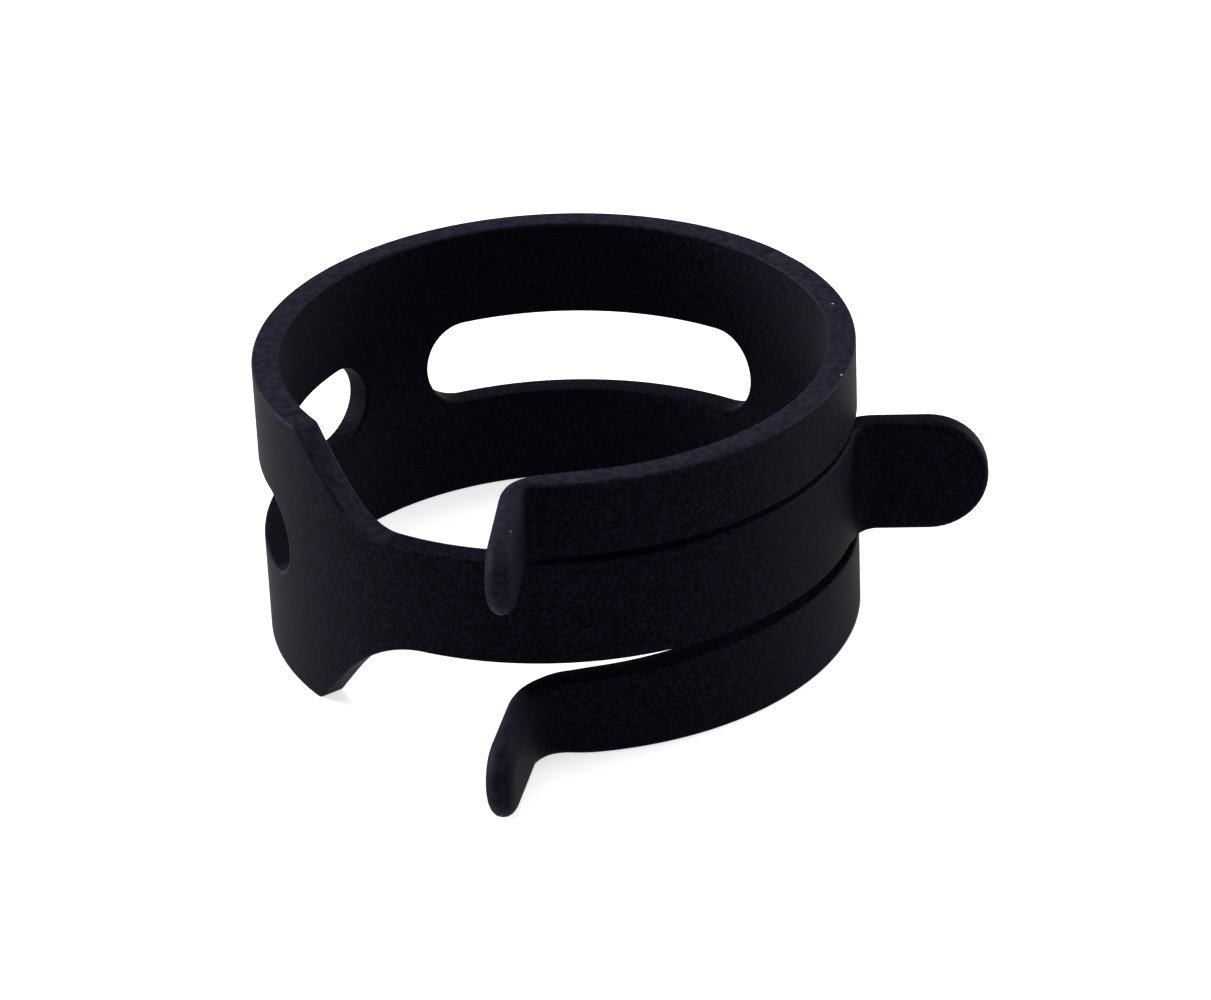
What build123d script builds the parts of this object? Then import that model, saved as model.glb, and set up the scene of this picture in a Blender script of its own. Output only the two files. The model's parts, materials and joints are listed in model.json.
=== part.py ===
"""Spring band hose clamp: one strip of spring steel rolled into a ring whose two ends pass each other.

One end is a fork of two arms that finish in upturned ears. The other end narrows to a tongue, which
runs through the fork and finishes in a tab. Squeezing the tab towards the ears opens the ring.
Angles are in degrees about +Z from +X, and grow from the fork, round the back, to the tongue.
The strip is divided where it bends most, so that each zone is a solid of its own.
"""

import math
import os

from build123d import *

# Strip and ring
STRIP_WIDTH = 12.0
STRIP_THICKNESS = 1.1
OUTER_RADIUS = 12.1
INNER_RADIUS = OUTER_RADIUS - STRIP_THICKNESS
MID_RADIUS = OUTER_RADIUS - STRIP_THICKNESS / 2
TOP = STRIP_WIDTH / 2
BOTTOM = -TOP

# Punched windows, which leave an upper and a lower rail. Their ends are full rounds, but for a short flat.
BACK_WINDOW = (42.5, 118.9)
BACK_WINDOW_BOTTOM = -1.85
LEFT_WINDOW = (135.8, 206.0)
LEFT_WINDOW_BOTTOM = -1.65
WINDOW_TOP = 1.85
WINDOW_END_FLAT = 0.02

# Angles at which the strip is divided. It bends about its outer edge at each of them.
BACK_CUTS = (50.0, 70.4, 90.8, 111.2)
LEFT_CUTS = (150.4, 171.4, 192.4)
FORK_CUT = 30.0
SHOULDER_CUT = 209.8
TONGUE_CUT = 222.0

# Fork: a slot between two arms, each ending in an ear that turns outwards
SLOT_BOTTOM = -2.4
SLOT_TOP = 2.85
SLOT_CORNER_RADIUS = 1.2
SLOT_END = 8.0
ARM_ROOT = 0.0
UPPER_EAR_BEND_START = -94.2
UPPER_EAR_HEADING = -97.5
UPPER_EAR_INSIDE_BEND = 0.4
UPPER_EAR_REACH = 5.2
LOWER_ARM_TAPER_START = -62.0
LOWER_EAR_TOP = -2.7
LOWER_EAR_BEND_START = -89.9
LOWER_EAR_HEADING = -103.0
LOWER_EAR_INSIDE_BEND = 1.5
LOWER_EAR_REACH = 4.55

# Tongue: the strip narrows at a shoulder, passes through the slot and ends in a tab
TONGUE_BOTTOM = -1.9
TONGUE_TOP = 2.6
UPPER_SHOULDER = (212.5, 229.5)
LOWER_SHOULDER = (215.2, 232.5)
SHOULDER_FILLET = 2.8
SHOULDER_FILLET_RUN = 6.0
TAB_BEND_START = 347.0
TAB_HEADING = 356.0
TAB_INSIDE_BEND = 0.9
TAB_BOTTOM = -2.25
TAB_TOP = TONGUE_TOP
TAB_REACH = 4.5

# Cutters reach this far through the wall, past the strip's edges, and between the corners of an end
CUTTER_DEPTH = 6.0
OVERCUT = 1.0
END_FLAT = 1.0
SLOT_CUTTER_START = -40.0


def on_circle(angle, radius=MID_RADIUS):
    """The point at an angle and radius, as (x, y)."""
    return (radius * math.cos(math.radians(angle)), radius * math.sin(math.radians(angle)))


def bent_plate(centre, inner, outer, start, end, low, high):
    """A plate bent to an arc: the sector between two radii and two angles, from height low to high."""
    sweep = end - start
    outside = CenterArc(centre, outer, start, sweep)
    inside = CenterArc(centre, inner, start, sweep)
    first_end = Line(inside @ 0, outside @ 0)
    last_end = Line(inside @ 1, outside @ 1)
    section = make_face([outside, last_end, inside, first_end])
    return Pos(0, 0, low) * extrude(section, high - low)


def strip(start, end, low=BOTTOM, high=TOP):
    """A stretch of the ring between two angles."""
    return bent_plate((0, 0), INNER_RADIUS, OUTER_RADIUS, start, end, low, high)


def facing(angle):
    """The plane tangent to the ring at an angle. Its X runs with growing angle and its Y runs up."""
    x, y = on_circle(angle)
    outwards = (math.cos(math.radians(angle)), math.sin(math.radians(angle)), 0)
    with_angle = (-math.sin(math.radians(angle)), math.cos(math.radians(angle)), 0)
    return Plane(origin=(x, y, 0), x_dir=with_angle, z_dir=outwards)


def punch(angle, outline):
    """A cutter: an outline drawn on the tangent plane at an angle, driven both ways through the wall."""
    return extrude(facing(angle) * outline, CUTTER_DEPTH / 2, both=True)


def rounded_opening(start, end, low, high, corner_radius):
    """The cutter for an opening between two angles, with its four corners rounded."""
    end_length = 2 * corner_radius + END_FLAT
    half_turn = math.degrees(end_length / 2 / MID_RADIUS)
    depth = CUTTER_DEPTH / 2
    middle = bent_plate(
        (0, 0), MID_RADIUS - depth, MID_RADIUS + depth, start + half_turn, end - half_turn, low, high
    )
    height = high - low
    outline = Pos(0, (low + high) / 2) * RectangleRounded(end_length, height, corner_radius)
    return middle + punch(start + half_turn, outline) + punch(end - half_turn, outline)


def bend_outwards(start, turn_side, heading, inside_radius):
    """The centre, first and last angle of the bend that starts on the ring, and the plane of the plate after it.

    turn_side is 1 where the strip was running with falling angle and -1 where it was growing.
    """
    bend_radius = inside_radius + STRIP_THICKNESS / 2
    centre = on_circle(start, MID_RADIUS + bend_radius)
    first = start + 180
    last = heading - turn_side * 90
    while (last - first) * turn_side < 0:
        last += turn_side * 360
    from_centre = (math.cos(math.radians(last)), math.sin(math.radians(last)))
    joint = (centre[0] + bend_radius * from_centre[0], centre[1] + bend_radius * from_centre[1])
    along = Vector(math.cos(math.radians(heading)), math.sin(math.radians(heading)), 0)
    plate = Plane(origin=(joint[0], joint[1], 0), x_dir=along, z_dir=along.cross(Vector(0, 0, 1)))
    return centre, sorted((first, last)), plate


def turned_end(bend, inside_radius, reach, low, high):
    """A bend followed by a flat plate with a full-round end."""
    centre, (first, last), plate = bend
    curve = bent_plate(
        centre, inside_radius, inside_radius + STRIP_THICKNESS, first, last, low, high
    )
    radius = (high - low) / 2
    outline = Pos((reach - radius) / 2, 0) * Rectangle(reach - radius, 2 * radius)
    outline += Pos(reach - radius, 0) * Circle(radius)
    flat = Pos(0, (low + high) / 2, -STRIP_THICKNESS / 2) * extrude(outline, STRIP_THICKNESS)
    return curve + plate * flat


def window(ends, bottom):
    """The cutter for a window between two angles."""
    corner_radius = (WINDOW_TOP - bottom - WINDOW_END_FLAT) / 2
    return rounded_opening(*ends, bottom, WINDOW_TOP, corner_radius)


windows = window(BACK_WINDOW, BACK_WINDOW_BOTTOM) + window(LEFT_WINDOW, LEFT_WINDOW_BOTTOM)

parts = {}

# The strip's full-width zones
parts["rear_web"] = strip(BACK_CUTS[-1], LEFT_CUTS[0]) - windows
parts["right_web"] = strip(FORK_CUT, BACK_CUTS[0]) - windows
parts["left_web"] = strip(LEFT_CUTS[-1], SHOULDER_CUT) - windows

# Rails above and below the windows
for side, cuts, window_bottom in (
    ("back", BACK_CUTS, BACK_WINDOW_BOTTOM),
    ("left", LEFT_CUTS, LEFT_WINDOW_BOTTOM),
):
    for number, (start, end) in enumerate(zip(cuts, cuts[1:]), start=1):
        parts[f"{side}_upper_rail_{number}"] = strip(start, end, WINDOW_TOP, TOP)
        parts[f"{side}_lower_rail_{number}"] = strip(start, end, BOTTOM, window_bottom)

# Fork
slot = rounded_opening(SLOT_CUTTER_START, SLOT_END, SLOT_BOTTOM, SLOT_TOP, SLOT_CORNER_RADIUS)
parts["fork_root"] = strip(ARM_ROOT, FORK_CUT) - slot
upper_bend = bend_outwards(UPPER_EAR_BEND_START, 1, UPPER_EAR_HEADING, UPPER_EAR_INSIDE_BEND)
parts["upper_arm"] = strip(UPPER_EAR_BEND_START, ARM_ROOT, SLOT_TOP, TOP)
parts["upper_ear"] = turned_end(upper_bend, UPPER_EAR_INSIDE_BEND, UPPER_EAR_REACH, SLOT_TOP, TOP)

# The lower arm narrows a little towards its ear, along a straight shear
taper_run = math.radians(LOWER_ARM_TAPER_START - LOWER_EAR_BEND_START) * MID_RADIUS
taper_middle = (LOWER_ARM_TAPER_START + LOWER_EAR_BEND_START) / 2
taper_corners = [
    (taper_run / 2, SLOT_BOTTOM),
    (-taper_run / 2, LOWER_EAR_TOP),
    (-taper_run, LOWER_EAR_TOP),
    (-taper_run, 0),
    (taper_run / 2, 0),
]
taper_waste = punch(taper_middle, make_face(Polyline(*taper_corners, close=True)))
parts["lower_arm"] = strip(LOWER_EAR_BEND_START, ARM_ROOT, BOTTOM, SLOT_BOTTOM) - taper_waste
lower_bend = bend_outwards(LOWER_EAR_BEND_START, 1, LOWER_EAR_HEADING, LOWER_EAR_INSIDE_BEND)
parts["lower_ear"] = turned_end(
    lower_bend, LOWER_EAR_INSIDE_BEND, LOWER_EAR_REACH, BOTTOM, LOWER_EAR_TOP
)

# Shoulder and tongue: everything above and below the tongue is sheared away along a slope
waste = []
for (start, end), edge, tongue_edge in (
    (UPPER_SHOULDER, TOP, TONGUE_TOP),
    (LOWER_SHOULDER, BOTTOM, TONGUE_BOTTOM),
):
    run = math.radians(end - start) * MID_RADIUS
    beyond = math.copysign(OVERCUT, edge)
    slope = (edge - tongue_edge) / run
    corners = [
        (-run / 2 - beyond / slope, edge + beyond),
        (run / 2, tongue_edge),
        (run / 2 + SHOULDER_FILLET_RUN, tongue_edge),
        (run / 2 + SHOULDER_FILLET_RUN, edge + beyond),
    ]
    sheared = make_face(Polyline(*corners, close=True))
    root = sheared.vertices().sort_by_distance((run / 2, tongue_edge, 0))[0]
    waste.append(punch((start + end) / 2, fillet(root, SHOULDER_FILLET)))

shear = waste[0] + waste[1]
tongue_start = UPPER_SHOULDER[1] + math.degrees(SHOULDER_FILLET_RUN / 2 / MID_RADIUS)
parts["shoulder"] = strip(SHOULDER_CUT, TONGUE_CUT) - shear
parts["tongue"] = (strip(TONGUE_CUT, tongue_start) - shear) + strip(
    tongue_start, TAB_BEND_START, TONGUE_BOTTOM, TONGUE_TOP
)
tab_bend = bend_outwards(TAB_BEND_START, -1, TAB_HEADING, TAB_INSIDE_BEND)
parts["tab"] = turned_end(tab_bend, TAB_INSIDE_BEND, TAB_REACH, TAB_BOTTOM, TAB_TOP)

os.makedirs("parts", exist_ok=True)
for name, shape in parts.items():
    export_step(shape, f"parts/{name}.step")
    print(f"{name}: {shape.volume:.2f} mm3")

print(f"ring {2 * INNER_RADIUS:.1f} mm inside, {2 * OUTER_RADIUS:.1f} mm outside")
print(f"upper ear bend {upper_bend[1]}, lower ear bend {lower_bend[1]}, tab bend {tab_bend[1]}")
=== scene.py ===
# %% [markdown]
# # A spring band hose clamp
#
# The clamp is one strip of spring steel. A press punches the flat outline, a mandrel rolls it into a ring
# and turns its ends outwards, it is hardened, and last it gets a thin black coating. This lesson goes the
# same way: it describes the flat blank, rolls it with one formula, and coats it with one material.
#
# The strip bends at ten places when the clamp is opened. Each of those places gets one continuous piece
# that reaches across the bend.

import json
import math

import bpy
import numpy as np
from mathutils import Matrix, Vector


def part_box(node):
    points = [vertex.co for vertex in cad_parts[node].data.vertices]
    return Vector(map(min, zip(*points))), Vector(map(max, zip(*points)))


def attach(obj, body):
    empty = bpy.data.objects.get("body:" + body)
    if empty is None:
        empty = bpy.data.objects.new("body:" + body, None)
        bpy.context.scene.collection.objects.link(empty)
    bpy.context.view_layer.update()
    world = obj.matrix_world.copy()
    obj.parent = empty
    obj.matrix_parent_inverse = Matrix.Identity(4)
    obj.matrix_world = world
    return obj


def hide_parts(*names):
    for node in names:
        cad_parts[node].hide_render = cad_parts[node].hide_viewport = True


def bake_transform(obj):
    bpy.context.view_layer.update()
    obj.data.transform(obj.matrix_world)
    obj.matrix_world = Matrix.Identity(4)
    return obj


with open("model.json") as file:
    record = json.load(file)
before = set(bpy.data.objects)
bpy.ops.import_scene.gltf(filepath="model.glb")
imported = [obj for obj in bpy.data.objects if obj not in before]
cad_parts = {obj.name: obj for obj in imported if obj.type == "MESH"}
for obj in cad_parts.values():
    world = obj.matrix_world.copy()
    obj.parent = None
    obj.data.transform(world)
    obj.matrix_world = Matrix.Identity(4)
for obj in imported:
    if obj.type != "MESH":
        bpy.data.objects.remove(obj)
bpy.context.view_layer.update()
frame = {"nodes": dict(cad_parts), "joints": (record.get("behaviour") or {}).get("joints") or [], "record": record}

# %% [markdown]
# ## Measuring the ring
#
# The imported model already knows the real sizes. The hinges lie on the ring's outer face, the hose seat gives
# its bore, and boxes of single parts give the strip's width and the windows' height. Reading them here
# keeps the two models the same size, and only the outlines that no box shows are written as numbers.

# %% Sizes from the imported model, in millimetres
MM = 1000.0
hinge_angle = {}
for joint in frame["joints"]:
    x, y, z = joint["pos_m"]
    hinge_angle[joint["name"]] = math.degrees(math.atan2(y, x)) % 360
    outer_radius = MM * math.hypot(x, y)

seat = next(mount for mount in frame["record"]["mounts"] if mount["name"] == "hose_seat")
inner_radius = seat["dims"]["r_mm"]
thickness = outer_radius - inner_radius
mid_radius = (outer_radius + inner_radius) / 2
web_low, web_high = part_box("rear_web")
bottom, top = MM * web_low.z, MM * web_high.z
window_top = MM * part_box("back_upper_rail_1")[0].z
window_bottom = {side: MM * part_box(f"{side}_lower_rail_1")[1].z for side in ("back", "left")}
print(f"ring {2 * inner_radius:.1f} mm inside, strip {top - bottom:.1f} x {thickness:.2f} mm")
print("hinges at", {name: round(angle, 1) for name, angle in hinge_angle.items()})

slot_low, slot_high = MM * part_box("lower_arm")[1].z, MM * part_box("upper_arm")[0].z
lower_ear_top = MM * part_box("lower_ear")[1].z
tab_low, tongue_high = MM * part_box("tab")[0].z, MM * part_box("tab")[1].z
print(f"slot {slot_low:.2f} to {slot_high:.2f} mm, tab {tab_low:.2f} to {tongue_high:.2f} mm")

# %% Outlines that no box shows, in degrees round the ring and millimetres across the strip
BACK_WINDOW = (42.5, 118.9)
LEFT_WINDOW = (135.8, 206.0)
SLOT_END = 8.0
SLOT_CORNER = 1.2
LOWER_ARM_TAPER = (-62.0, -89.9)
UPPER_SHOULDER, LOWER_SHOULDER = (212.2, 229.5), (214.4, 232.3)
SHOULDER_CORNER = 0.4
UPPER_FILLET, LOWER_FILLET = 2.8, 4.5
TONGUE_LOW = -1.9
print("windows span", [round(end - start, 1) for start, end in (BACK_WINDOW, LEFT_WINDOW)], "degrees")

# %% [markdown]
# ## Rolling the strip
#
# A rolled strip could be made by bending a flat mesh with a modifier, or by carrying a section along a
# curve object. Both hide the numbers. Here one function says where each point of the flat blank ends up:
# `s` runs along the strip's middle, `z` across it, and the third number goes through its thickness.
# The middle line has five stretches: the ear's plate, its bend, the ring, the tab's bend and its plate.


# %% The turned ends
def along(angle):
    """Distance along the strip that belongs to an angle of the ring: the angle in radians times the radius."""
    return np.radians(angle) * mid_radius


class TurnedEnd:
    """An end that leaves the ring at `start`, bends outwards and runs straight on for `reach`.

    The bend's length is its turn in radians times its middle radius. `heading` is the direction in which s
    grows on the plate, in degrees.
    """

    def __init__(self, start, heading, inside_bend, reach):
        ring_heading = (start + 270) % 360 - 180
        self.on_ring = along(start)
        self.radius = inside_bend + thickness / 2
        self.bend = math.radians(abs(ring_heading - heading)) * self.radius
        side = math.copysign(1, start)
        self.plate = self.on_ring + side * self.bend
        self.tip = self.plate + side * reach


upper_ear = TurnedEnd(start=-94.2, heading=82.5, inside_bend=0.4, reach=5.2)
lower_ear = TurnedEnd(start=-89.9, heading=77.0, inside_bend=1.5, reach=4.55)
tab = TurnedEnd(start=347.0, heading=-4.0, inside_bend=0.9, reach=4.5)
print(f"blank {tab.tip - upper_ear.tip:.1f} mm long")


# %% The middle line of the strip
def middle_line(s, ear=upper_ear):
    """Position and heading of the middle line at distance s along it.

    On the ring the heading is the angle plus a quarter turn. A bend of constant curvature adds a chord of
    length s * sinc(turn / 2), pointing half a turn on, and the plate after it is a straight run.
    """
    on_ring = np.clip(s, ear.on_ring, tab.on_ring)
    in_bend = np.clip(s - on_ring, -ear.bend, tab.bend)
    on_plate = s - on_ring - in_bend
    angle = on_ring / mid_radius
    turn = -in_bend / np.where(in_bend < 0, ear.radius, tab.radius)
    chord = in_bend * np.sinc(turn / (2 * np.pi))
    half_way = angle + np.pi / 2 + turn / 2
    heading = angle + np.pi / 2 + turn
    x = mid_radius * np.cos(angle) + chord * np.cos(half_way) + on_plate * np.cos(heading)
    y = mid_radius * np.sin(angle) + chord * np.sin(half_way) + on_plate * np.sin(heading)
    return x, y, heading


def roll(s, z, through, ear=upper_ear):
    """A point of the strip in space: the middle line, moved by `through` along its outward normal."""
    x, y, heading = middle_line(s, ear)
    return np.stack([x + through * np.sin(heading), y - through * np.cos(heading), z], axis=-1)


ear_x, ear_y, _ = middle_line(upper_ear.tip)
print(f"the upper ear's tip lies at {ear_x:.2f}, {ear_y:.2f} mm")


# %% [markdown]
# ## Edges that a press leaves
#
# A sheared edge isn't a sharp corner: the punch rolls it over and tumbling blunts the burr, most of all on
# the ears and the tab, which are struck again when they are turned. A bevel modifier could round it, but it
# would also round the places where two pieces meet. So the thickness itself is a function of the distance to
# the nearest sheared edge, and rows of the mesh close up towards it.
#
# The outer edges also rub on whatever they touch, while those of the windows, the slot and the tongue lie too
# deep. A second number says which is which, for the coating to read: it paints the outer edges lighter, partly
# as worn coating and partly as a painted highlight of the light from above.

# %% The section near an edge: how far its rounding reaches, and how deep it goes, in millimetres
RING_EDGE, EAR_EDGE, TAB_EDGE = 0.13, 0.75, 0.30
EAR_EDGE_RUN = 1.0
MOST_ROUNDED = 0.50
# Rows of the mesh beside an edge, and one more to hold the flat, as shares of the reach
EDGE_STEPS = 6
SUPPORT_ROW = 1.5
edge_rows = np.append(1 - np.cos(np.linspace(0, np.pi / 2, EDGE_STEPS)), SUPPORT_ROW)


def soft_step(x, start, end):
    """0 up to start, 1 from end on, and a cubic with level ends between: 3t^2 - 2t^3."""
    t = np.clip((x - start) / (end - start), 0, 1)
    return t * t * (3 - 2 * t)


def edge_radius(s):
    """How far the rounding of an edge reaches: little along the ring, more over the bends and on the plates."""
    towards_ear = soft_step(s, lower_ear.on_ring + EAR_EDGE_RUN, lower_ear.plate)
    towards_tab = soft_step(s, tab.on_ring, tab.plate)
    return RING_EDGE + (EAR_EDGE - RING_EDGE) * towards_ear + (TAB_EDGE - RING_EDGE) * towards_tab


def half_thickness(gap, radius):
    """Half the strip's thickness at a distance from its edge: a quarter circle, then flat.

    Where the radius is more than the strip allows, the quarter circle is flattened to a quarter ellipse.
    """
    short = np.clip(1 - gap / radius, 0, 1)
    return thickness / 2 - np.minimum(radius, MOST_ROUNDED) * (1 - np.sqrt(1 - short**2))


places = {"ring": 0.0, "ear": lower_ear.tip, "tab": tab.tip}
print("edge radius", {place: round(float(edge_radius(s)), 2) for place, s in places.items()})

# %% Which edges rub and get a painted highlight
SHOULDER_WEAR_HIGHLIGHT_FROM, SHOULDER_WEAR_HIGHLIGHT_TO = (190.0, 199.0), (232.0, 245.0)


def without_wear_highlight(s):
    """1 along the windows, the slot and the tongue, 0 on the ears and about the shoulder, whose edges rub and get
    a painted highlight.
    """
    on_ear = 1 - soft_step(s, lower_ear.plate, lower_ear.on_ring)
    past_its_start = soft_step(s, *(along(angle) for angle in SHOULDER_WEAR_HIGHLIGHT_FROM))
    past_its_end = soft_step(s, *(along(angle) for angle in SHOULDER_WEAR_HIGHLIGHT_TO))
    return 1 - on_ear - past_its_start * (1 - past_its_end)


print("without_wear_highlight", {place: round(float(without_wear_highlight(s)), 2) for place, s in places.items()})

# %% [markdown]
# ## Patches of the blank
#
# Every region of the blank is a grid of straight threads between two lines. Where a line is a sheared
# edge it has an inward direction, and the first rows follow it. Where it is only a border with
# the next patch, the direction is zero and those rows fall together, to be merged later.


# %% A patch between two lines
def patch(first, second, first_inward, second_inward, steps):
    """Grid of (s, z, gap, wear and highlight gap): rows beside both lines, and points shared out along threads
    between them.

    The gap is the distance to the nearer line that is a sheared edge, or to the strip's own two edges. The
    wear and highlight gap is 1 mm more beside edges that lie too deep to be rubbed, and these get no painted
    highlight.
    """
    first_rows = edge_rows * edge_radius(first[:, :1])
    second_rows = edge_rows[::-1] * edge_radius(second[:, :1])
    near = first[:, None] + first_rows[..., None] * first_inward[:, None]
    far = second[:, None] + second_rows[..., None] * second_inward[:, None]
    share = np.linspace(0, 1, steps + 1)[None, 1:-1, None]
    between = near[:, -1:] * (1 - share) + far[:, :1] * share
    grid = np.concatenate([near, between, far], axis=1)
    own_edge = gap = np.maximum(top - np.abs(grid[..., 1]), 0)
    for line, inward in ((first, first_inward), (second, second_inward)):
        from_line = np.linalg.norm(grid - line[:, None], axis=-1)
        is_edge = inward.any(axis=-1)[:, None]
        gap = np.where(is_edge, np.minimum(gap, from_line), gap)
    # This gap sets where the edges are painted lighter, as wear and as a painted highlight
    wear_highlight_gap = np.minimum(own_edge, gap + without_wear_highlight(grid[..., 0]))
    return np.concatenate([grid, gap[..., None], wear_highlight_gap[..., None]], axis=-1)


def line_of(s, z):
    """A line of the blank, from arrays or single numbers for its two coordinates."""
    return np.stack(np.broadcast_arrays(s, z), axis=-1).astype(float)


# %% Columns along the strip
COLUMN = 0.22
SEAM_COLUMN = 0.05


def columns(*marks, step=COLUMN):
    """Distances along the strip through all the marks, with a narrow column inside each outer mark."""
    runs = [np.linspace(a, b, 1 + math.ceil(abs(b - a) / step)) for a, b in zip(marks, marks[1:])]
    side = math.copysign(SEAM_COLUMN, marks[-1] - marks[0])
    ends = [marks[0] + side, marks[-1] - side]
    joined = np.unique(np.concatenate(runs + [ends]))
    return joined if side > 0 else joined[::-1]


def band(s, low, high, low_is_edge=True, high_is_edge=True, steps=8):
    """A stretch of strip from a lower line to an upper one, whose heights may change along s."""
    low_line, high_line = line_of(s, low), line_of(s, high)
    inward = []
    for line, side, is_edge in ((low_line, 1, low_is_edge), (high_line, -1, high_is_edge)):
        slope = np.gradient(line[:, 1], line[:, 0])
        across = side * np.stack([-slope, np.ones_like(slope)], axis=-1)
        inward.append(is_edge * across / np.hypot(slope, 1)[:, None])
    return patch(low_line, high_line, inward[0], inward[1], steps)


def round_end(centre_s, centre_z, radius, side, steps=4, spokes=24):
    """The half disc that ends an ear or the tab: spokes from its rim to its centre."""
    turn = np.linspace(-np.pi / 2, np.pi / 2, spokes + 1)
    outwards = np.stack([side * np.cos(turn), np.sin(turn)], axis=-1)
    centre = np.broadcast_to([centre_s, centre_z], outwards.shape)
    return patch(centre + radius * outwards, centre, -outwards, np.zeros_like(outwards), steps)


# %% [markdown]
# ## Round the end of an opening
#
# The ends of the windows and of the fork's slot are the hard places: a plain grid would cut across
# their round corners. Threads that leave the opening's edge at right angles and stop at a rectangle
# round it follow the corner exactly, and meet the straight rails without a gap.

# %% The strip round one end of an opening
RIM = 0.55
ARC_COLUMN = math.radians(6)
END_COLUMN = 0.5
ROUND_OFF = 1e-6


def opening_end(cut, end, far, low, high, corner, steps=9):
    """Patches from a cut through the rails, round the opening's end, to a cut through the full strip.

    The opening's edge runs along its upper side, round both corners and back along its lower side. A thread's
    length is the shorter of its ways to the rim's height and to the far cut, along its own direction.
    """
    side = math.copysign(1, end - cut)
    centre_s = end - side * corner
    rim_top, rim_bottom = top - RIM, bottom + RIM
    straight = columns(cut, centre_s)
    points, outwards = [line_of(straight, high)], [line_of(0 * straight, 1.0)]
    for centre_z, rim_z, first, last in (
        (high - corner, rim_top, np.pi / 2, 0.0),
        (low + corner, rim_bottom, 0.0, -np.pi / 2),
    ):
        to_corner = math.atan2(rim_z - centre_z, abs(far - centre_s))
        turns = [
            np.linspace(a, b, 1 + math.ceil(abs(b - a) / ARC_COLUMN))
            for a, b in ((first, to_corner), (to_corner, last))
        ]
        turn = np.concatenate(turns)
        outward = np.stack([side * np.cos(turn), np.sin(turn)], axis=-1)
        points.append(np.array([centre_s, centre_z]) + corner * outward)
        outwards.append(outward)
        if first > 0:
            count = 1 + math.ceil((high - low - 2 * corner) / END_COLUMN)
            end_z = np.linspace(high - corner, low + corner, count)
            points.append(line_of(end, end_z))
            outwards.append(line_of(side, 0 * end_z))
    points.append(line_of(straight[::-1], low))
    outwards.append(line_of(0 * straight, -1.0))
    points, outwards = np.concatenate(points), np.concatenate(outwards)

    rim_z = np.where(outwards[:, 1] > 0, rim_top, rim_bottom)
    limits = np.stack([np.full_like(rim_z, far), rim_z], axis=-1)
    with np.errstate(divide="ignore", invalid="ignore"):
        lengths = np.where(np.abs(outwards) > ROUND_OFF, (limits - points) / outwards, np.inf)
    border = points + lengths.min(axis=1, keepdims=True) * outwards
    patches = [patch(points, border, outwards, np.zeros_like(outwards), steps)]
    for rim_z, edge_z in ((rim_top, top), (rim_bottom, bottom)):
        on_rim = np.abs(border[:, 1] - rim_z) < ROUND_OFF
        rim_s = np.unique(np.round(border[on_rim, 0], 7))
        low_z, high_z = sorted((rim_z, edge_z))
        patches.append(band(rim_s, low_z, high_z, edge_z < 0, edge_z > 0, steps=1))
    return patches


# %% [markdown]
# ## From patches to a closed solid
#
# The patches of one piece are put together while they are still flat. Points that coincide become one
# point. The sheet is then laid twice, once on the outer face and once on the inner face, and a
# wall closes every border, whether it is a sheared edge or a cut where the next piece begins.

# %% Make one piece of the strip
SNAP = 1e-4
UV_UNIT = 10.0
pieces = {}


def sheet_of(patches):
    """Joins patches into one flat sheet: its points, its faces turned the same way, and its border."""
    points, faces, start = [], [], 0
    for grid in patches:
        n, m = grid.shape[:2]
        number = start + np.arange(n * m).reshape(n, m)
        corners = [number[:-1, :-1], number[1:, :-1], number[1:, 1:], number[:-1, 1:]]
        faces.append(np.stack(corners, axis=-1).reshape(-1, 4))
        points.append(grid.reshape(-1, 4))
        start += n * m
    points, faces = np.concatenate(points), np.concatenate(faces)
    snapped = np.round(points[:, :2] / SNAP)
    _, first, same = np.unique(snapped, axis=0, return_index=True, return_inverse=True)
    points, faces = points[first], same.reshape(-1)[faces]

    s, z = points[:, 0][faces], points[:, 1][faces]
    area = ((s[:, 2] - s[:, 0]) * (z[:, 3] - z[:, 1]) - (s[:, 3] - s[:, 1]) * (z[:, 2] - z[:, 0])) / 2
    solid = np.abs(area) > SNAP**2
    faces = np.where(area[solid, None] > 0, faces[solid], faces[solid, ::-1])

    sides = np.stack([faces, np.roll(faces, -1, axis=1)], axis=-1).reshape(-1, 2)
    sides = sides[sides[:, 0] != sides[:, 1]]
    _, at, times = np.unique(np.sort(sides, axis=1), axis=0, return_index=True, return_counts=True)
    return points, faces, sides[at[times == 1]]


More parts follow.
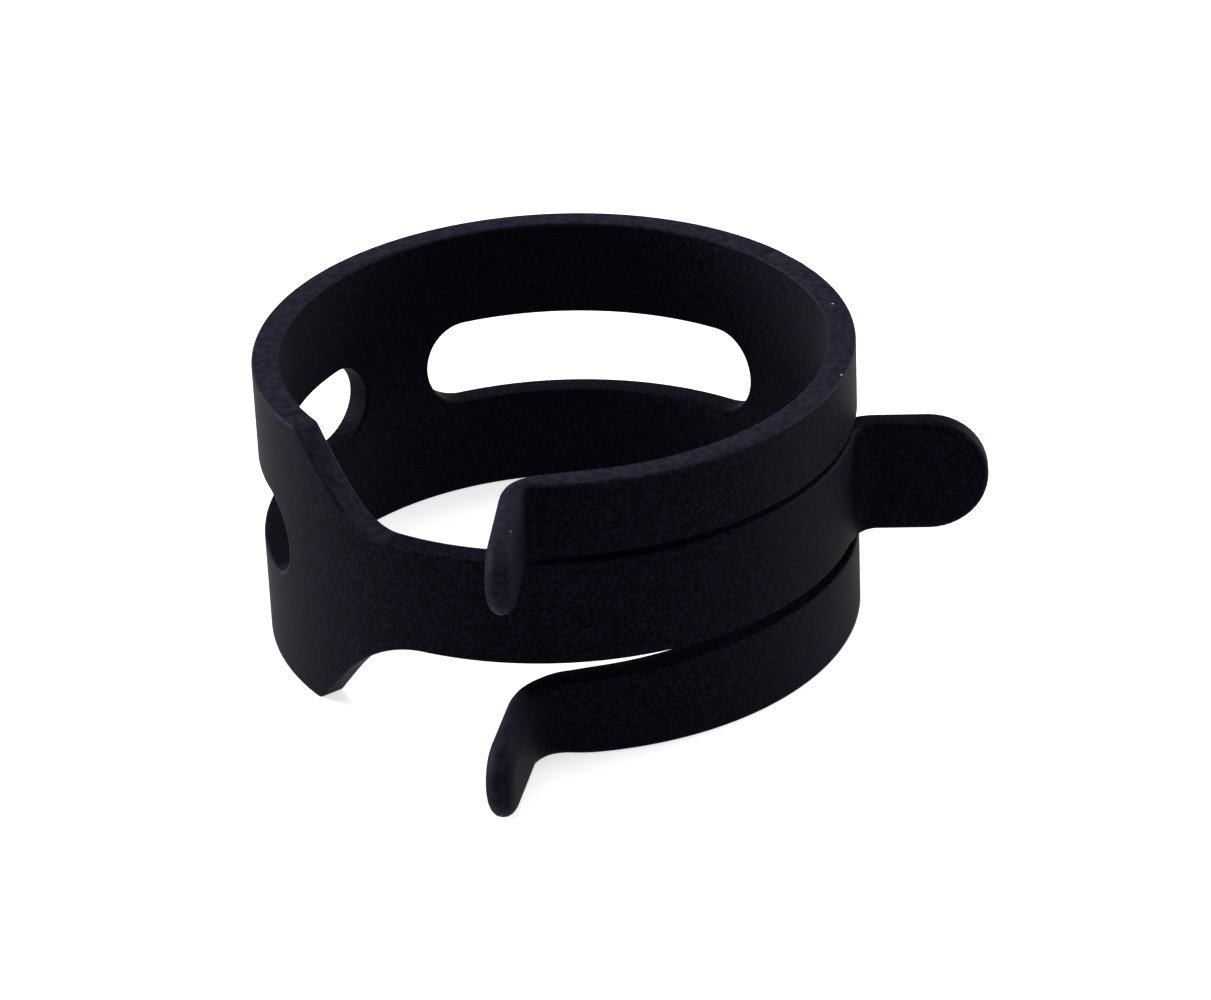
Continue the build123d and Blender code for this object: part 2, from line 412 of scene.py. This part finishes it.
def make_piece(name, patches, ear=upper_ear):
    """A closed solid: the sheet on the outer face, again on the inner face, and a wall along its border.

    Cuts between pieces keep sharp sides, so that shading doesn't bend over them. The UV map holds s and z.
    """
    points, faces, border = sheet_of(patches)
    s, z, gap, wear_highlight_gap = points.T
    count = len(points)
    through = half_thickness(gap, edge_radius(s))
    corners = np.concatenate([roll(s, z, through, ear), roll(s, z, -through, ear)]) / MM
    outer = [tuple(dict.fromkeys(face)) for face in faces.tolist()]
    inner = [tuple(dict.fromkeys(face[::-1])) for face in (faces + count).tolist()]
    start, end = border.T
    wall = np.stack([end, start, start + count, end + count], axis=-1).tolist()

    mesh = bpy.data.meshes.new(name)
    mesh.from_pydata(corners, [], outer + inner + wall)
    mesh.polygons.foreach_set("use_smooth", [True] * len(mesh.polygons))
    # Distance that sets the lighter edge colour: worn coating and a painted highlight
    wear_highlight_attribute = mesh.attributes.new("edge_gap", "FLOAT", "POINT")
    wear_highlight_attribute.data.foreach_set("value", np.tile(wear_highlight_gap, 2).astype(np.float32))
    rolled = mesh.uv_layers.new(name="strip")
    loop_point = np.zeros(len(mesh.loops), np.int32)
    mesh.loops.foreach_get("vertex_index", loop_point)
    flat = np.stack([s, z], axis=-1)[loop_point % count] / UV_UNIT
    rolled.data.foreach_set("uv", flat.astype(np.float32).ravel())

    is_cut = (gap > 2 * SNAP)[border].any(axis=1)
    sharp_pairs = {tuple(sorted(pair)) for pair in border[is_cut].tolist()}
    sharp_pairs |= {tuple(sorted(pair)) for pair in (border[is_cut] + count).tolist()}
    ends = np.zeros(2 * len(mesh.edges), np.int32)
    mesh.edges.foreach_get("vertices", ends)
    sharp = [tuple(sorted(pair)) in sharp_pairs for pair in ends.reshape(-1, 2).tolist()]
    mesh.attributes.new("sharp_edge", "BOOLEAN", "EDGE").data.foreach_set("value", sharp)
    mesh.update()

    piece = bpy.data.objects.new(name, mesh)
    bpy.context.scene.collection.objects.link(piece)
    pieces[name] = piece
    print(f"{name}: {len(mesh.vertices)} points, {sum(is_cut)} cut sides")
    return piece


# %% [markdown]
# ## Riding and crossing
#
# A piece that lies inside one body rides on it. For a piece that reaches across a hinge, the stretch about the
# hinge is worked out evenly to both sides, stopping just before the piece's cuts.

# %% Hinges and the pieces that cross them
SEAM_MARGIN = 0.1
joint_of = {joint["name"]: joint for joint in frame["joints"]}


def cross_hinge(piece, joint_name, first_cut, last_cut):
    """Works out the stretch about a piece's hinge, as wide on both sides as the nearer cut allows, and bakes the
    piece's place into its mesh.

    The stretch is measured along a chord, on which the cut's inner corner lies nearest to the hinge, at the inner
    radius times the sine of the half span. The chord's own ends lie on the middle radius.
    """
    joint, angle = joint_of[joint_name], hinge_angle[joint_name]
    half_span = math.radians(min(angle - first_cut, last_cut - angle))
    reach = math.degrees(math.asin(inner_radius / mid_radius * math.sin(half_span))) - SEAM_MARGIN
    rear_side = 1 if joint["axis"][2] > 0 else -1
    for side in (rear_side, -rear_side):
        x, y, _ = middle_line(along(angle + side * reach))
    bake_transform(piece)
    print(f"{piece.name} bends over {2 * reach:.1f} degrees about {joint_name}")


# %% [markdown]
# ## The full-width zones
#
# Three kinds of zone keep the strip's whole width: the web behind the fork's slot, the webs at the windows'
# ends, and the plain band on the left. Along the windows the cuts between pieces lie half way between two
# hinges, and elsewhere where the steel is straight and plain.

# %% Cuts between the pieces
hinge_order = sorted(hinge_angle, key=hinge_angle.get)
FORK_CUT, RIGHT_CUT, REAR_CUT = -10.0, 38.0, 127.35
BAND_CUT, SHOULDER_CUT, TONGUE_CUT = 207.6, 212.0, 256.0
half_way = [(hinge_angle[a] + hinge_angle[b]) / 2 for a, b in zip(hinge_order, hinge_order[1:])]
in_back_window, in_left_window = half_way[1:4], half_way[5:7]
cuts = [FORK_CUT, RIGHT_CUT, *in_back_window, REAR_CUT, *in_left_window, BAND_CUT, SHOULDER_CUT, TONGUE_CUT]
zone = dict(zip(hinge_order, zip(cuts, cuts[1:])))
print({name: (round(first, 1), round(last, 1)) for name, (first, last) in zone.items()})

# %% The ends of both windows and of the slot
slot = (slot_low, slot_high, SLOT_CORNER)
back_window, left_window = (
    (window_bottom[side], window_top, (window_top - window_bottom[side]) / 2) for side in ("back", "left")
)
# name: hinge, the end's angle, whether that is the opening's far end, its outline, the parts it stands for
openings = {
    "fork_root": (
        "bend_at_right_side", SLOT_END, True, slot,
        ("fork_root", "right_web", "upper_arm", "lower_arm")),
    "back_window_right_end": (
        "bend_at_back_window_right", BACK_WINDOW[0], False, back_window,
        ("right_web", "back_upper_rail_1", "back_lower_rail_1")),
    "back_window_left_end": (
        "bend_at_back_window_left", BACK_WINDOW[1], True, back_window,
        ("back_upper_rail_3", "back_lower_rail_3", "rear_web")),
    "left_window_rear_end": (
        "bend_at_left_window_rear", LEFT_WINDOW[0], False, left_window,
        ("rear_web", "left_upper_rail_1", "left_lower_rail_1")),
    "left_window_front_end": (
        "bend_at_left_window_front", LEFT_WINDOW[1], True, left_window,
        ("left_upper_rail_2", "left_lower_rail_2", "left_web")),
}
for name, (joint_name, end, is_far_end, outline, nodes) in openings.items():
    first, last = zone[joint_name]
    cut, far = (first, last) if is_far_end else (last, first)
    piece = make_piece(name, opening_end(along(cut), along(end), along(far), *outline))
    cross_hinge(piece, joint_name, first, last)
    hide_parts(*nodes)

# %% The rails above and below the windows
rails = {
    "back_{}_rail_right": ("bend_in_back_window_right", "back", ("back_{}_rail_1", "back_{}_rail_2")),
    "back_{}_rail_left": ("bend_in_back_window_left", "back", ("back_{}_rail_2", "back_{}_rail_3")),
    "left_{}_rail": ("bend_in_left_window", "left", ("left_{}_rail_1", "left_{}_rail_2")),
}
for pattern, (joint_name, side, nodes) in rails.items():
    first, last = zone[joint_name]
    s = columns(along(first), along(last))
    for level, low, high in (("upper", window_top, top), ("lower", bottom, window_bottom[side])):
        piece = make_piece(pattern.format(level), [band(s, low, high)])
        cross_hinge(piece, joint_name, first, last)
        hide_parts(*(node.format(level) for node in nodes))

# %% [markdown]
# ## The fork
#
# The two arms run round the front, above and below the tongue, and turn outwards into ears that pliers push
# against. The lower arm gets a little narrower towards its ear. Both end in a full round, so each is a
# band as far as the round's centre and a half disc of spokes beyond it.

# %% Arms and ears
ARM_STEPS = 10
BEND_COLUMN = 0.12
taper_start, taper_end = (along(angle) for angle in LOWER_ARM_TAPER)
for name, ear, low, high, high_at_ear, nodes in (
    ("upper_arm_and_ear", upper_ear, slot_high, top, top, ("upper_arm", "upper_ear")),
    ("lower_arm_and_ear", lower_ear, bottom, slot_low, lower_ear_top, ("lower_arm", "lower_ear")),
):
    radius = (high_at_ear - low) / 2
    round_s = ear.tip + radius
    ring_columns = columns(ear.on_ring, taper_start, along(FORK_CUT))
    plate_columns = columns(round_s, ear.plate, ear.on_ring, step=BEND_COLUMN)
    s = np.union1d(plate_columns, ring_columns)
    taper = np.clip((taper_start - s) / (taper_start - taper_end), 0, 1)
    upper_line = high + taper * (high_at_ear - high)
    arm = band(s, np.full_like(s, low), upper_line, steps=ARM_STEPS)
    plate_end = round_end(round_s, low + radius, radius, -1, steps=ARM_STEPS // 2)
    piece = make_piece(name, [arm, plate_end], ear)
    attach(piece, "fork")
    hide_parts(*nodes)

# %% [markdown]
# ## Shoulder, tongue and tab
#
# On the other side the strip narrows over a sloping shoulder to a tongue, which slips through the fork's
# slot and ends in the tab. The outline above and below is one function of `s`: level, a straight slope
# with rounded corners, and level again.


# %% The outline that narrows the strip
def rounded_step(s, first, last, high, low, first_radius, last_radius):
    """A level line that slopes down from `high` to `low` between two places, with both corners rounded.

    Near each corner the height follows a parabola that touches both straight stretches, as long as the
    arc of that radius would be.
    """
    slope = (low - high) / (last - first)
    straight = high + slope * np.clip(s - first, 0, last - first)
    for corner, radius, side in ((first, first_radius, 1), (last, last_radius, -1)):
        reach = radius * math.tan(math.atan(abs(slope)) / 2)
        inside = np.clip(reach - np.abs(s - corner), 0, None)
        straight = straight + side * slope * inside**2 / (4 * reach)
    return straight


# %% The left band and the shoulder
SHOULDER_COLUMN = 0.15
SHOULDER_STEPS = 14
s = np.union1d(
    columns(along(BAND_CUT), along(SHOULDER_CUT)),
    columns(along(SHOULDER_CUT), along(TONGUE_CUT), step=SHOULDER_COLUMN),
)
outlines = [
    rounded_step(s, along(first), along(last), edge, tongue_edge, SHOULDER_CORNER, fillet)
    for (first, last), edge, tongue_edge, fillet in (
        (LOWER_SHOULDER, bottom, TONGUE_LOW, LOWER_FILLET),
        (UPPER_SHOULDER, top, tongue_high, UPPER_FILLET),
    )
]
narrowing = band(s, *outlines, steps=SHOULDER_STEPS)
at_cut = int(np.argmin(np.abs(s - along(SHOULDER_CUT))))
left_band = make_piece("left_band", [narrowing[:at_cut + 1]])
cross_hinge(left_band, "bend_at_left_side", BAND_CUT, SHOULDER_CUT)
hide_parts("left_web", "shoulder")
shoulder = make_piece("shoulder", [narrowing[at_cut:]])
cross_hinge(shoulder, "bend_at_shoulder", SHOULDER_CUT, TONGUE_CUT)
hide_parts("shoulder", "tongue")

# %% The tongue and its tab
TAB_WIDENING = (341.0, 349.0)
TONGUE_STEPS = 12
tab_radius = (tongue_high - tab_low) / 2
round_s = tab.tip - tab_radius
s = np.union1d(
    columns(along(TONGUE_CUT), tab.on_ring),
    columns(tab.on_ring, tab.plate, round_s, step=BEND_COLUMN),
)
widening = soft_step(s, *(along(angle) for angle in TAB_WIDENING))
lower_line = TONGUE_LOW + (tab_low - TONGUE_LOW) * widening
tongue_band = band(s, lower_line, np.full_like(s, tongue_high), steps=TONGUE_STEPS)
tab_round = round_end(round_s, tongue_high - tab_radius, tab_radius, 1, steps=TONGUE_STEPS // 2)
tongue = make_piece("tongue_and_tab", [tongue_band, tab_round])
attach(tongue, "tongue")
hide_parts("tongue", "tab")

# %% [markdown]
# ## Shader maths in Python
#
# Node trees are hard to read as pictures and harder as lists of links. A small class wraps one socket:
# arithmetic on it adds Math nodes, and one method adds any other node.


# %% A socket that can be calculated with
class Signal:
    """One output of a node tree. Arithmetic gives the output of a new Math node."""

    def __init__(self, tree, socket=None):
        self.tree = tree
        self.socket = socket

    def node(self, kind, settings=None, inputs=None, output=0):
        """Adds a node, sets its settings first and then its sockets' values or links."""
        node = self.tree.nodes.new(kind)
        for name, value in (settings or {}).items():
            setattr(node, name, value)
        for name, value in (inputs or {}).items():
            if isinstance(value, Signal):
                self.tree.links.new(value.socket, node.inputs[name])
            else:
                node.inputs[name].default_value = value
        return Signal(self.tree, node.outputs[output])

    def math(self, operation, a, b=0.0):
        return self.node("ShaderNodeMath", {"operation": operation}, {0: a, 1: b})

    def __add__(self, other):
        return self.math("ADD", self, other)

    __radd__ = __add__

    def __sub__(self, other):
        return self.math("SUBTRACT", self, other)

    def __rsub__(self, other):
        return self.math("SUBTRACT", other, self)

    def __mul__(self, other):
        return self.math("MULTIPLY", self, other)

    __rmul__ = __mul__

    def __gt__(self, other):
        return self.math("GREATER_THAN", self, other)

    def step(self, start, end):
        """A soft step: 0 up to start, 1 from end on."""
        inputs = {"Value": self, "From Min": start, "From Max": end}
        return self.node("ShaderNodeMapRange", {"interpolation_type": "SMOOTHSTEP"}, inputs)

    def mix(self, first, second):
        """A colour that goes from the first to the second as this value goes from 0 to 1."""
        inputs = {"Factor": self, "A": first, "B": second}
        return self.node("ShaderNodeMix", {"data_type": "RGBA"}, inputs, output="Result")


# %% [markdown]
# ## The black coating
#
# The coating is a thin film of metal flakes in a black binder, dipped and baked on. It is satin, not
# glossy: a fine grain breaks up every reflection. Over a few millimetres its sheen drifts, where it ran
# thicker or thinner. Along the sheared edges, where clamps rub on each other in the box, it is thinner and
# polished, and its colour there is painted lighter, partly as wear and partly as a painted highlight of the
# light from above. At a few specks bare zinc shows.

# %% Colours of the coating, and how many features each pattern has in a metre
THICK_FILM, THIN_FILM = (0.0003, 0.0002, 0.0007, 1), (0.0006, 0.0004, 0.0013, 1)
# The rubbed edge colour is lighter partly for wear and partly as a painted highlight of the light from above
FLAKES, WORN_AND_HIGHLIT_EDGE, BARE_ZINC = (0.0042, 0.0034, 0.0085, 1), (0.0090, 0.0080, 0.0150, 1), (0.22, 0.22, 0.24, 1)
GRAIN_SCALE, PATCH_SCALE, SPECK_SCALE, CLOUD_SCALE = 6500.0, 3200.0, 2600.0, 260.0
# Lines left by rolling, for each centimetre along the strip and across it
ROLLING_SCALE = (1.5, 60.0, 1.0)
# Distances from a sheared edge in millimetres: where rubbing and the painted edge highlight end, and where specks
# get rare and end
WEAR_HIGHLIGHT_END = 0.20
SPECKS_FADE, SPECKS_END = 0.25, 0.6
# Height of the grain in millimetres
GRAIN_DEPTH = 0.02
# Cells above this draw of the lottery, from 0 to 1, may hold a speck
WINNING_DRAW = 0.992
print(f"one grain is about {MM / GRAIN_SCALE:.2f} mm, one cloud {MM / CLOUD_SCALE:.1f} mm")


# %% The coating as a material
def noise(here, place, scale, detail, roughness=0.55):
    """A 3D noise about 0.5, with `scale` features in a unit and `detail` finer layers on top."""
    inputs = {"Vector": place, "Scale": scale, "Detail": detail, "Roughness": roughness}
    return here.node("ShaderNodeTexNoise", {"noise_dimensions": "3D"}, inputs)


def black_flake_coating(name):
    """A satin black coating with grain, drifting sheen, edges painted lighter as wear and as a painted highlight,
    and rare bare specks.
    """
    material = bpy.data.materials.new(name)
    material.use_nodes = True
    tree = material.node_tree
    here = Signal(tree)
    shader = tree.nodes["Principled BSDF"]
    place = here.node("ShaderNodeTexCoord", output="Object")
    strip = here.node("ShaderNodeUVMap", {"uv_map": "strip"})
    gap = here.node("ShaderNodeAttribute", {"attribute_name": "edge_gap"}, output="Fac")

    grain = noise(here, place, GRAIN_SCALE, 4.0, 0.7)
    cloud = noise(here, place, CLOUD_SCALE, 4.0)
    patchy = noise(here, place, PATCH_SCALE, 3.0)
    stretched = here.node("ShaderNodeMapping", None, {"Vector": strip, "Scale": ROLLING_SCALE})
    rolling_lines = noise(here, stretched, 1.0, 3.0)

    # Edges painted lighter: partly thin, worn coating, partly a painted highlight of the light from above
    worn_and_highlit = (1 - gap.step(0.0, WEAR_HIGHLIGHT_END)) * (0.35 + 0.65 * patchy.step(0.35, 0.65))
    cells = {"Vector": place, "Scale": SPECK_SCALE}
    from_centre = here.node("ShaderNodeTexVoronoi", None, cells)
    centre = here.node("ShaderNodeTexVoronoi", None, cells, output="Position")
    draw = here.node("ShaderNodeTexWhiteNoise", None, {"Vector": centre})
    near_edge = 1 - gap.step(SPECKS_FADE, SPECKS_END)
    speck = (1 - from_centre.step(0.08, 0.18)) * (draw > WINNING_DRAW) * near_edge

    film = cloud.step(0.35, 0.68).mix(THICK_FILM, THIN_FILM)
    grained = grain.step(0.40, 0.64).mix(film, FLAKES)
    with_lighter_edges = worn_and_highlit.mix(grained, WORN_AND_HIGHLIT_EDGE)
    colour = speck.mix(with_lighter_edges, BARE_ZINC)
    tree.links.new(colour.socket, shader.inputs["Base Color"])

    roughness = 0.50 + 0.10 * cloud + 0.14 * grain - 0.08 * worn_and_highlit
    tree.links.new(roughness.socket, shader.inputs["Roughness"])
    height = 0.70 * grain + 0.20 * patchy + 0.10 * rolling_lines
    relief = {"Height": height, "Strength": 0.55, "Distance": GRAIN_DEPTH / MM}
    bump = here.node("ShaderNodeBump", None, relief)
    tree.links.new(bump.socket, shader.inputs["Normal"])
    shader.inputs["Specular IOR Level"].default_value = 0.02
    shader.inputs["Specular Tint"].default_value = (0.80, 0.74, 1.0, 1)
    return material


coating = black_flake_coating("black_flake_coating")
for piece in pieces.values():
    piece.data.materials.append(coating)
for node in frame["nodes"].values():
    node.data.materials.clear()
    node.data.materials.append(coating)
print(f"{len(pieces)} pieces coated")

# %% [markdown]
# ## Floor, light and camera
#
# The clamp stands on its lower edge on a light table: a white floor that glows a little, so that a shadow on
# it stays pale, under an even white sky. Black steel shows only what it reflects, so the light is in soft
# panels: one at each side, somewhat behind, draws the flanks, and one above draws the top edge.

# %% Floor and sky
FLOOR_RADIUS = 3.0
FLOOR_CLEARANCE = 0.01
FLOOR_SIDES = 96
floor_level = (bottom - FLOOR_CLEARANCE) / MM
turn = np.arange(FLOOR_SIDES) * 2 * np.pi / FLOOR_SIDES
rim = np.stack([FLOOR_RADIUS * np.cos(turn), FLOOR_RADIUS * np.sin(turn), 0 * turn + floor_level], axis=-1)
floor_mesh = bpy.data.meshes.new("floor")
floor_mesh.from_pydata(rim, [], [tuple(range(len(rim)))])
floor = bpy.data.objects.new("floor", floor_mesh)
bpy.context.scene.collection.objects.link(floor)
pale = bpy.data.materials.new("pale_floor")
pale.use_nodes = True
pale_shader = pale.node_tree.nodes["Principled BSDF"]
pale_shader.inputs["Base Color"].default_value = (0.45, 0.45, 0.45, 1)
pale_shader.inputs["Roughness"].default_value = 0.8
pale_shader.inputs["Specular IOR Level"].default_value = 0.1
pale_shader.inputs["Emission Color"].default_value = (1.0, 1.0, 1.0, 1)
pale_shader.inputs["Emission Strength"].default_value = 0.70
floor_mesh.materials.append(pale)

world = bpy.data.worlds.new("studio")
bpy.context.scene.world = world
world.use_nodes = True
background = world.node_tree.nodes["Background"]
background.inputs["Color"].default_value = (1.0, 1.0, 1.0, 1)
background.inputs["Strength"].default_value = 0.45
print(f"floor at {MM * floor_level:.2f} mm")


# %% Soft panels
def panel(name, place, power, width, height):
    """A soft rectangular light at a place in metres that faces the ring's middle."""
    light = bpy.data.lights.new(name, "AREA")
    light.shape = "RECTANGLE"
    light.size, light.size_y, light.energy = width, height, power
    lamp = bpy.data.objects.new(name, light)
    lamp.location = place
    direction = -np.array(place) / np.linalg.norm(place)
    pitch = math.acos(-direction[2])
    lamp.rotation_euler = (pitch, 0, math.atan2(direction[1], direction[0]) - math.pi / 2)
    bpy.context.scene.collection.objects.link(lamp)
    print(f"{name}: {power} W, {np.linalg.norm(place):.2f} m away")


panel("overhead_panel", place=(0.0, 0.12, 0.5), power=2.6, width=0.3, height=0.3)
panel("left_panel", place=(-0.43, 0.16, 0.12), power=5.5, width=0.25, height=0.20)
panel("right_panel", place=(0.42, 0.18, 0.12), power=3.0, width=0.25, height=0.20)

# %% Camera, which looks at the ring's middle and then turns aside by the swing and the tip
CAMERA_ELEVATION = math.radians(28.14)
CAMERA_ROLL = math.radians(-2.788)
CAMERA_DISTANCE = 0.20504
CAMERA_SWING = math.radians(0.5189)
CAMERA_TIP = math.radians(0.3001)
LENS, SENSOR_WIDTH = 150.233, 36.0

camera_data = bpy.data.cameras.new("camera")
camera_data.sensor_fit = "HORIZONTAL"
camera_data.sensor_width = SENSOR_WIDTH
camera_data.lens = LENS
camera_data.clip_start, camera_data.clip_end = 0.01, 20.0
camera = bpy.data.objects.new("camera", camera_data)
bpy.context.scene.collection.objects.link(camera)
bpy.context.scene.camera = camera

# The camera's right, up and backward directions, before it is rolled and swung
right = np.array([1.0, 0.0, 0.0])
up = np.array([0.0, math.sin(CAMERA_ELEVATION), math.cos(CAMERA_ELEVATION)])
back = np.cross(right, up)
camera.location = tuple(CAMERA_DISTANCE * back)


def turned(vector, axis, angle):
    """A vector turned about a unit axis: Rodrigues' formula."""
    vector, axis = np.array(vector), np.array(axis)
    return (vector * math.cos(angle) + np.cross(axis, vector) * math.sin(angle)
            + axis * axis.dot(vector) * (1 - math.cos(angle)))


right, up = turned(right, back, CAMERA_ROLL), turned(up, back, CAMERA_ROLL)
right, back = turned(right, up, -CAMERA_SWING), turned(back, up, -CAMERA_SWING)
up, back = turned(up, right, -CAMERA_TIP), turned(back, right, -CAMERA_TIP)
camera.rotation_euler = Matrix(np.stack([right, up, back], axis=1).tolist()).to_euler()
print("camera at", [round(value, 4) for value in camera.location])

# %% Tone
bpy.context.scene.view_settings.view_transform = "Standard"
bpy.context.scene.view_settings.look = "None"
